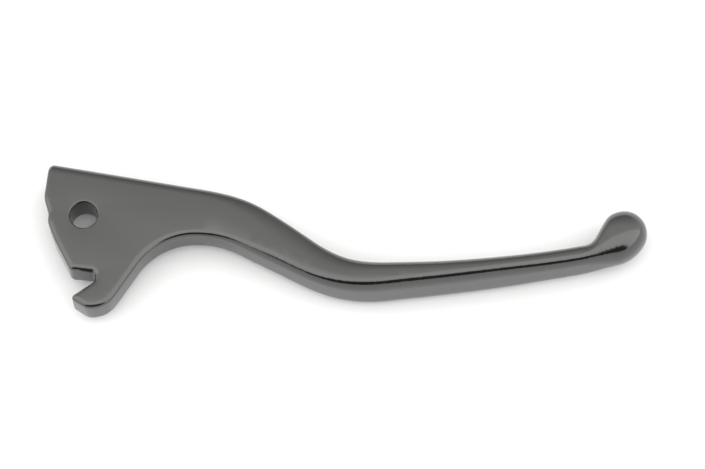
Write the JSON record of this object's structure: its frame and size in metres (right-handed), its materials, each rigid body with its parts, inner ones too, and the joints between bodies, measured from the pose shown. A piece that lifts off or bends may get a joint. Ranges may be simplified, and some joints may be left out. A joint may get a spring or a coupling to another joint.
{
  "type": "brake lever blade",
  "caption": "One-piece curved brake lever blade with a bored head, a pushrod notch and hook, an S-shaped shank, a finger grip and a ball end.",
  "frame": {"origin": "on the pivot bore's axis, at mid thickness of the head", "axes": "+Z along the pivot axis; +X from the pivot towards the ball end's centre; +Y forwards, away from the handlebar; the handlebar lies on the -Y side"},
  "size_m": [0.1724, 0.0441, 0.016],
  "materials": {
    "coated_metal": "dark grey gloss coat over cast aluminium"
  },
  "bodies": {
    "root": {"lever_blade": "coated_metal"}
  },
  "joints": []
}
